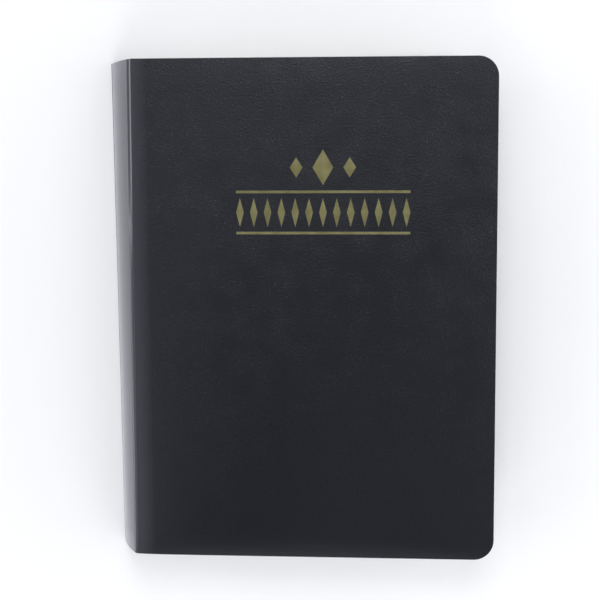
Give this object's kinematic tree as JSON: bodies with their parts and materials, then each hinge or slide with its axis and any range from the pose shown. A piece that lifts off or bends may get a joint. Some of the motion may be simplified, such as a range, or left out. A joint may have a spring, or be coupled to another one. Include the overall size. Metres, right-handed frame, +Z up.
{
  "type": "photo album",
  "caption": "Soft-cover pocket photo album with a rounded spine, two creased living hinges, hinged pocket leaves and a plain stamped foil ornament.",
  "frame": {"origin": "centre of the bounding box at the underside of the back cover", "axes": "+Z up through the closed album, +Y from the foot to the head of the covers, +X from the spine to the fore-edge"},
  "size_m": [0.1282, 0.165, 0.0199],
  "materials": {
    "cover_sheet": "matt black polypropylene sheet with a fine sand grain",
    "binding_strip": "smooth dark polypropylene strip",
    "gold_foil": "hot-stamped satin gold foil",
    "divider_sheet": "smooth off-white sheet",
    "pocket_film": "clear glossy film"
  },
  "bodies": {
    "back_cover": {"back_cover": "cover_sheet"},
    "spine": {"spine_panel": "cover_sheet", "back_hinge_web": "cover_sheet", "front_hinge_web": "cover_sheet", "binding_strip": "binding_strip"},
    "front_cover": {"front_cover": "cover_sheet", "foil_ornament": "gold_foil"},
    "leaf_01": {"divider_01": "divider_sheet", "pockets_01": "pocket_film"},
    "leaf_02": {"divider_02": "divider_sheet", "pockets_02": "pocket_film"},
    "leaf_03": {"divider_03": "divider_sheet", "pockets_03": "pocket_film"},
    "leaf_04": {"divider_04": "divider_sheet", "pockets_04": "pocket_film"},
    "leaf_05": {"divider_05": "divider_sheet", "pockets_05": "pocket_film"},
    "leaf_06": {"divider_06": "divider_sheet", "pockets_06": "pocket_film"},
    "leaf_07": {"divider_07": "divider_sheet", "pockets_07": "pocket_film"},
    "leaf_08": {"divider_08": "divider_sheet", "pockets_08": "pocket_film"},
    "leaf_09": {"divider_09": "divider_sheet", "pockets_09": "pocket_film"},
    "leaf_10": {"divider_10": "divider_sheet", "pockets_10": "pocket_film"},
    "leaf_11": {"divider_11": "divider_sheet", "pockets_11": "pocket_film"},
    "leaf_12": {"divider_12": "divider_sheet", "pockets_12": "pocket_film"},
    "leaf_13": {"divider_13": "divider_sheet", "pockets_13": "pocket_film"},
    "leaf_14": {"divider_14": "divider_sheet", "pockets_14": "pocket_film"},
    "leaf_15": {"divider_15": "divider_sheet", "pockets_15": "pocket_film"},
    "leaf_16": {"divider_16": "divider_sheet", "pockets_16": "pocket_film"},
    "leaf_17": {"divider_17": "divider_sheet", "pockets_17": "pocket_film"},
    "leaf_18": {"divider_18": "divider_sheet", "pockets_18": "pocket_film"},
    "leaf_19": {"divider_19": "divider_sheet", "pockets_19": "pocket_film"},
    "leaf_20": {"divider_20": "divider_sheet", "pockets_20": "pocket_film"}
  },
  "joints": [
    {"name": "spine_fold", "type": "hinge", "parent": "back_cover", "child": "spine", "pos_m": [-0.06365, 0, 0.0005], "axis": [0, -1, 0], "range_deg": [0, 102]},
    {"name": "cover_fold", "type": "hinge", "parent": "spine", "child": "front_cover", "pos_m": [-0.05525, 0, 0.01936], "axis": [0, -1, 0], "range_deg": [0, 80]},
    {"name": "leaf_01_turn", "type": "hinge", "parent": "spine", "child": "leaf_01", "pos_m": [-0.06207, 0, 0.00157], "axis": [0, -1, 0], "range_deg": [-71.4, 0]},
    {"name": "leaf_02_turn", "type": "hinge", "parent": "spine", "child": "leaf_02", "pos_m": [-0.06185, 0, 0.00245], "axis": [0, -1, 0], "range_deg": [-67.83, 0]},
    {"name": "leaf_03_turn", "type": "hinge", "parent": "spine", "child": "leaf_03", "pos_m": [-0.06161, 0, 0.00333], "axis": [0, -1, 0], "range_deg": [-64.26, 0]},
    {"name": "leaf_04_turn", "type": "hinge", "parent": "spine", "child": "leaf_04", "pos_m": [-0.06135, 0, 0.00421], "axis": [0, -1, 0], "range_deg": [-60.69, 0]},
    {"name": "leaf_05_turn", "type": "hinge", "parent": "spine", "child": "leaf_05", "pos_m": [-0.06108, 0, 0.00509], "axis": [0, -1, 0], "range_deg": [-57.12, 0]},
    {"name": "leaf_06_turn", "type": "hinge", "parent": "spine", "child": "leaf_06", "pos_m": [-0.06078, 0, 0.00597], "axis": [0, -1, 0], "range_deg": [-53.55, 0]},
    {"name": "leaf_07_turn", "type": "hinge", "parent": "spine", "child": "leaf_07", "pos_m": [-0.06047, 0, 0.00685], "axis": [0, -1, 0], "range_deg": [-49.98, 0]},
    {"name": "leaf_08_turn", "type": "hinge", "parent": "spine", "child": "leaf_08", "pos_m": [-0.06014, 0, 0.00773], "axis": [0, -1, 0], "range_deg": [-46.41, 0]},
    {"name": "leaf_09_turn", "type": "hinge", "parent": "spine", "child": "leaf_09", "pos_m": [-0.05978, 0, 0.00861], "axis": [0, -1, 0], "range_deg": [-42.84, 0]},
    {"name": "leaf_10_turn", "type": "hinge", "parent": "spine", "child": "leaf_10", "pos_m": [-0.05941, 0, 0.00949], "axis": [0, -1, 0], "range_deg": [-39.27, 0]},
    {"name": "leaf_11_turn", "type": "hinge", "parent": "spine", "child": "leaf_11", "pos_m": [-0.05901, 0, 0.01037], "axis": [0, -1, 0], "range_deg": [-35.7, 0]},
    {"name": "leaf_12_turn", "type": "hinge", "parent": "spine", "child": "leaf_12", "pos_m": [-0.0586, 0, 0.01125], "axis": [0, -1, 0], "range_deg": [-32.13, 0]},
    {"name": "leaf_13_turn", "type": "hinge", "parent": "spine", "child": "leaf_13", "pos_m": [-0.05816, 0, 0.01213], "axis": [0, -1, 0], "range_deg": [-28.56, 0]},
    {"name": "leaf_14_turn", "type": "hinge", "parent": "spine", "child": "leaf_14", "pos_m": [-0.0577, 0, 0.01301], "axis": [0, -1, 0], "range_deg": [-24.99, 0]},
    {"name": "leaf_15_turn", "type": "hinge", "parent": "spine", "child": "leaf_15", "pos_m": [-0.05722, 0, 0.01389], "axis": [0, -1, 0], "range_deg": [-21.42, 0]},
    {"name": "leaf_16_turn", "type": "hinge", "parent": "spine", "child": "leaf_16", "pos_m": [-0.05671, 0, 0.01477], "axis": [0, -1, 0], "range_deg": [-17.85, 0]},
    {"name": "leaf_17_turn", "type": "hinge", "parent": "spine", "child": "leaf_17", "pos_m": [-0.05618, 0, 0.01565], "axis": [0, -1, 0], "range_deg": [-14.28, 0]},
    {"name": "leaf_18_turn", "type": "hinge", "parent": "spine", "child": "leaf_18", "pos_m": [-0.05562, 0, 0.01653], "axis": [0, -1, 0], "range_deg": [-10.71, 0]},
    {"name": "leaf_19_turn", "type": "hinge", "parent": "spine", "child": "leaf_19", "pos_m": [-0.05503, 0, 0.01741], "axis": [0, -1, 0], "range_deg": [-7.14, 0]},
    {"name": "leaf_20_turn", "type": "hinge", "parent": "spine", "child": "leaf_20", "pos_m": [-0.05442, 0, 0.01829], "axis": [0, -1, 0], "range_deg": [-3.57, 0]}
  ],
  "couplings": [
    {"joint": "leaf_01_turn", "follows": "spine_fold", "ratio": -0.7},
    {"joint": "leaf_02_turn", "follows": "spine_fold", "ratio": -0.665},
    {"joint": "leaf_03_turn", "follows": "spine_fold", "ratio": -0.63},
    {"joint": "leaf_04_turn", "follows": "spine_fold", "ratio": -0.595},
    {"joint": "leaf_05_turn", "follows": "spine_fold", "ratio": -0.56},
    {"joint": "leaf_06_turn", "follows": "spine_fold", "ratio": -0.525},
    {"joint": "leaf_07_turn", "follows": "spine_fold", "ratio": -0.49},
    {"joint": "leaf_08_turn", "follows": "spine_fold", "ratio": -0.455},
    {"joint": "leaf_09_turn", "follows": "spine_fold", "ratio": -0.42},
    {"joint": "leaf_10_turn", "follows": "spine_fold", "ratio": -0.385},
    {"joint": "leaf_11_turn", "follows": "spine_fold", "ratio": -0.35},
    {"joint": "leaf_12_turn", "follows": "spine_fold", "ratio": -0.315},
    {"joint": "leaf_13_turn", "follows": "spine_fold", "ratio": -0.28},
    {"joint": "leaf_14_turn", "follows": "spine_fold", "ratio": -0.245},
    {"joint": "leaf_15_turn", "follows": "spine_fold", "ratio": -0.21},
    {"joint": "leaf_16_turn", "follows": "spine_fold", "ratio": -0.175},
    {"joint": "leaf_17_turn", "follows": "spine_fold", "ratio": -0.14},
    {"joint": "leaf_18_turn", "follows": "spine_fold", "ratio": -0.105},
    {"joint": "leaf_19_turn", "follows": "spine_fold", "ratio": -0.07},
    {"joint": "leaf_20_turn", "follows": "spine_fold", "ratio": -0.035}
  ]
}
